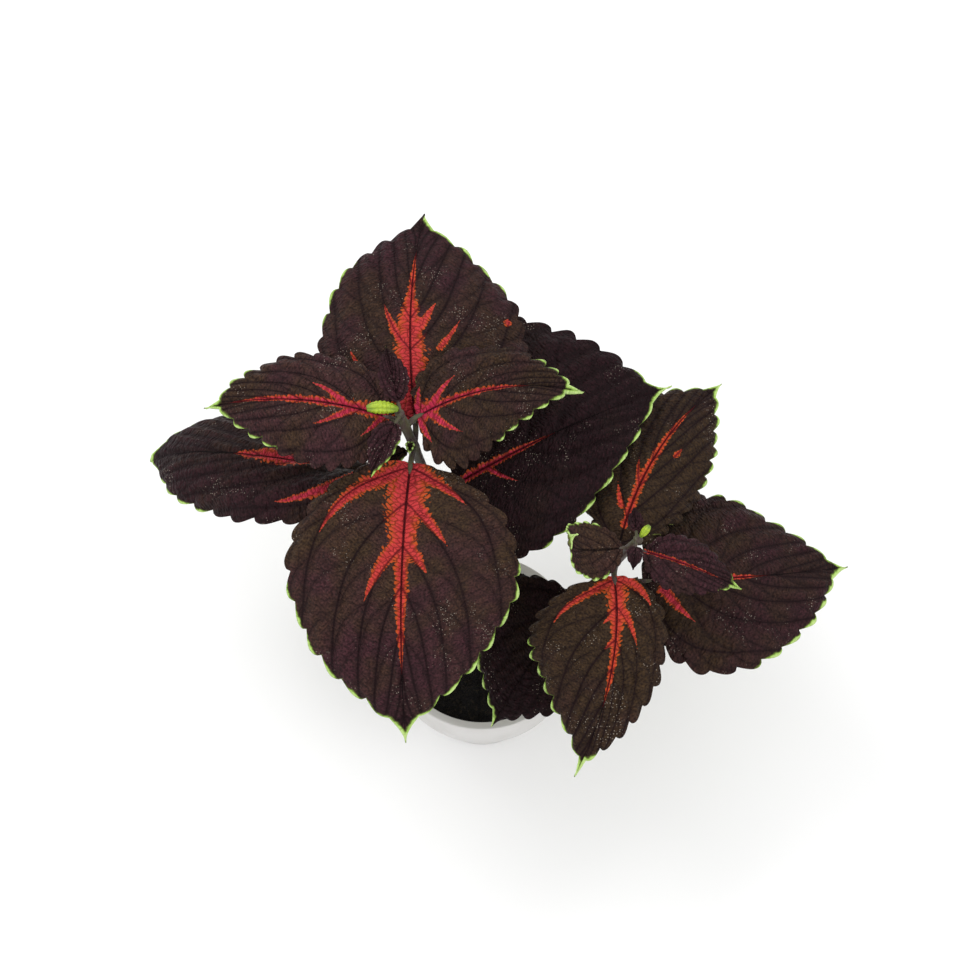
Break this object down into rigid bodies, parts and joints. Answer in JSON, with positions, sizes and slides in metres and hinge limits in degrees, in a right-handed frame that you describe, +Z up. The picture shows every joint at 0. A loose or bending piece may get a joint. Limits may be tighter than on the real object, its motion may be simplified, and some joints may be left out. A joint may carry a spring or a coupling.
{
  "type": "potted coleus",
  "caption": "Coleus with broad toothed dark leaves on leaning shoots, growing in the soil of a small tapered pot that stands on a flat surface.",
  "frame": {"origin": "middle of the pot's underside, on the surface that the pot stands on", "axes": "+Z up along the pot's axis, -Y towards the side that the picture is taken from, +X to that viewer's right"},
  "size_m": [0.3796, 0.2967, 0.2463],
  "materials": {
    "pot_plastic": "satin",
    "soil": "crumbly",
    "stem_skin": "smooth",
    "blade": "quilted",
    "young_blade": "velvety",
    "bud_skin": "smooth"
  },
  "bodies": {
    "root": {"pot": "pot_plastic", "soil": "soil", "stem_main": "stem_skin", "stem_side": "stem_skin", "leaf_main_upper_west": "blade", "leaf_main_upper_east": "blade", "leaf_main_middle_north": "blade", "leaf_main_middle_south": "blade", "leaf_main_lower_west": "blade", "leaf_main_lower_east": "blade", "leaf_side_upper_east": "blade", "leaf_side_upper_west": "blade", "leaf_side_middle_north": "blade", "leaf_side_middle_south": "blade", "leaf_side_lower_east": "blade", "leaf_side_lower_west": "blade", "young_leaves_main": "young_blade", "young_leaves_side": "young_blade", "bud_main": "bud_skin", "bud_side": "bud_skin"}
  },
  "joints": []
}
